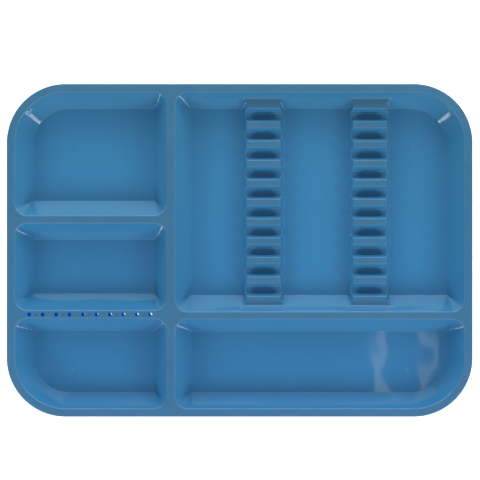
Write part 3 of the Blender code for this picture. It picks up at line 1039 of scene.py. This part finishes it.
def make_floor():
    half = FLOOR_HALF
    mesh = bpy.data.meshes.new("studio_floor")
    mesh.from_pydata([(-half, -half, 0), (half, -half, 0), (half, half, 0), (-half, half, 0)],
                     [], [(0, 1, 2, 3)])
    floor = bpy.data.objects.new("studio_floor", mesh)
    bpy.context.scene.collection.objects.link(floor)
    material, graph, shader = new_material("pale_floor")
    graph.give(shader["Base Color"], FLOOR_WHITE)
    graph.give(shader["Roughness"], FLOOR_ROUGHNESS)
    graph.give(shader["Emission Color"], PLAIN_WHITE)
    graph.give(shader["Emission Strength"], FLOOR_GLOW)
    mesh.materials.append(material)


def make_tent():
    """The white walls of a light tent, as a world: brightest at middle height, behind most of
    all, and dim overhead, where the camera looks in."""
    tent = bpy.data.worlds.new("light_tent")
    tent.use_nodes = True
    graph = Graph(tent.node_tree)
    x, y, z = graph.split(graph.coordinates("Generated"))
    rise = graph.maths("MAXIMUM", z, 0.0)
    band = graph.product(rise, graph.maths("SUBTRACT", 1.0, rise), 4.0)
    band = graph.product(band, band)
    total = graph.product(graph.maths("POWER", rise, 4.0), TENT_TOP)
    for way, sign, strength in ((y, 1.0, TENT_BACK), (y, -1.0, TENT_FRONT),
                                (x, 1.0, TENT_RIGHT)):
        facing = graph.maths("MAXIMUM", graph.product(way, sign), 0.0)
        total = graph.maths("ADD", total, graph.product(band, facing, strength))
    background = graph.nodes["Background"].inputs
    graph.give(background["Color"], total)
    graph.give(background["Strength"], 1.0)
    bpy.context.scene.world = tent


def add_light(name, centre, width, depth, power, target=(0.0, 0.0, 0.0), colour=PLAIN_WHITE):
    """A flat light that faces its target and doesn't show in the picture."""
    light = bpy.data.lights.new(name, "AREA")
    light.color = colour
    light.shape = "RECTANGLE"
    light.size = width
    light.size_y = depth
    light.energy = power
    obj = bpy.data.objects.new(name, light)
    obj.location = centre
    obj.rotation_euler = (Vector(target) - Vector(centre)).to_track_quat("-Z", "Y").to_euler()
    obj.visible_camera = False
    bpy.context.scene.collection.objects.link(obj)


def add_panel(name, azimuth, elevation, distance, width, height, power):
    """A light that faces the tray from a direction given in degrees."""
    turn = math.radians(azimuth)
    rise = math.radians(elevation)
    centre = (distance * math.cos(turn) * math.cos(rise),
              distance * math.sin(turn) * math.cos(rise),
              distance * math.sin(rise))
    add_light(name, centre, width, height, power)


def make_lights():
    """A bright wall close behind the tray, a broad panel high in front, two slim lamps lower
    down, which throw the shadows of the racks, and two tubes overhead, which the floor of the
    long compartment mirrors."""
    for name, low, high, power in BACK_WALL_BANDS:
        centre = (0.0, BACK_WALL_Y, (low + high) / 2)
        add_light(name, centre, BACK_WALL_WIDTH, high - low, power, colour=SOFT_WHITE)
    for panel in FRONT_PANELS:
        add_panel(*panel)
    for name, x, width, power in OVERHEAD_TUBES:
        add_light(name, (x, TUBE_Y, TUBE_Z), width, TUBE_LENGTH, power, (x, TUBE_Y, 0.0),
                  WARM_WHITE)


def make_camera():
    """Straight above the tray, as far off as the depth of the floors shows, with the small
    shift that the photograph's framing has."""
    camera = bpy.data.cameras.new("camera")
    camera.sensor_width = SENSOR_WIDTH
    camera.lens = SENSOR_WIDTH * CAMERA_DISTANCE / SEEN_WIDTH
    camera.shift_x = CAMERA_SHIFT_X
    camera.shift_y = CAMERA_SHIFT_Y
    obj = bpy.data.objects.new("camera", camera)
    obj.location = (CAMERA_X, CAMERA_Y, HEIGHT + CAMERA_DISTANCE)
    bpy.context.scene.collection.objects.link(obj)
    bpy.context.scene.camera = obj


# Putting it together -------------------------------------------------------------------

def build_tray(material):
    """The shell, the bur divider and the two racks, which meet without a gap."""
    works = {name: Patchwork() for name in PIECES}
    marks = [(middle(node).x, middle(node).y) for node in FOOT_NODES]
    tops = skin_rows(TOP_LEVELS, 0.0)
    unders = skin_rows(UNDER_LEVELS, WALL)
    top_outer, under_outer = add_rim(works["tray_shell"])
    for rows, outer in ((tops, top_outer), (unders, under_outer)):
        add_walls(works, rows)
        add_lands(works, rows, outer)
    add_floors(works["tray_shell"], tops, marks)
    add_floors(works["tray_shell"], unders)
    close_bur_divider(works, tops, unders)
    for name, node in zip(("rack_left", "rack_right"), RACK_NODES):
        add_rack(works[name], works["tray_shell"], middle(node).x)
    for name, work in works.items():
        piece = work.build(name, material)
        if name == "bur_divider":
            apply_boolean(piece, "UNION", bur_tubes(), material)
            apply_boolean(piece, "DIFFERENCE", dimple_cutters(), material)
            apply_boolean(piece, "DIFFERENCE", hole_cutters(), hole_glow_plastic())
        finish_surface(piece)
        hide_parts(PIECES[name])
        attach(piece, "root")


BLUE = tray_plastic()
build_tray(BLUE)
for foot_node in FOOT_NODES:
    pad = build_foot(foot_node, BLUE)
    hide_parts(foot_node)
    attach(pad, "root")
make_floor()
make_tent()
make_lights()
make_camera()
bpy.context.scene.view_settings.view_transform = "Standard"
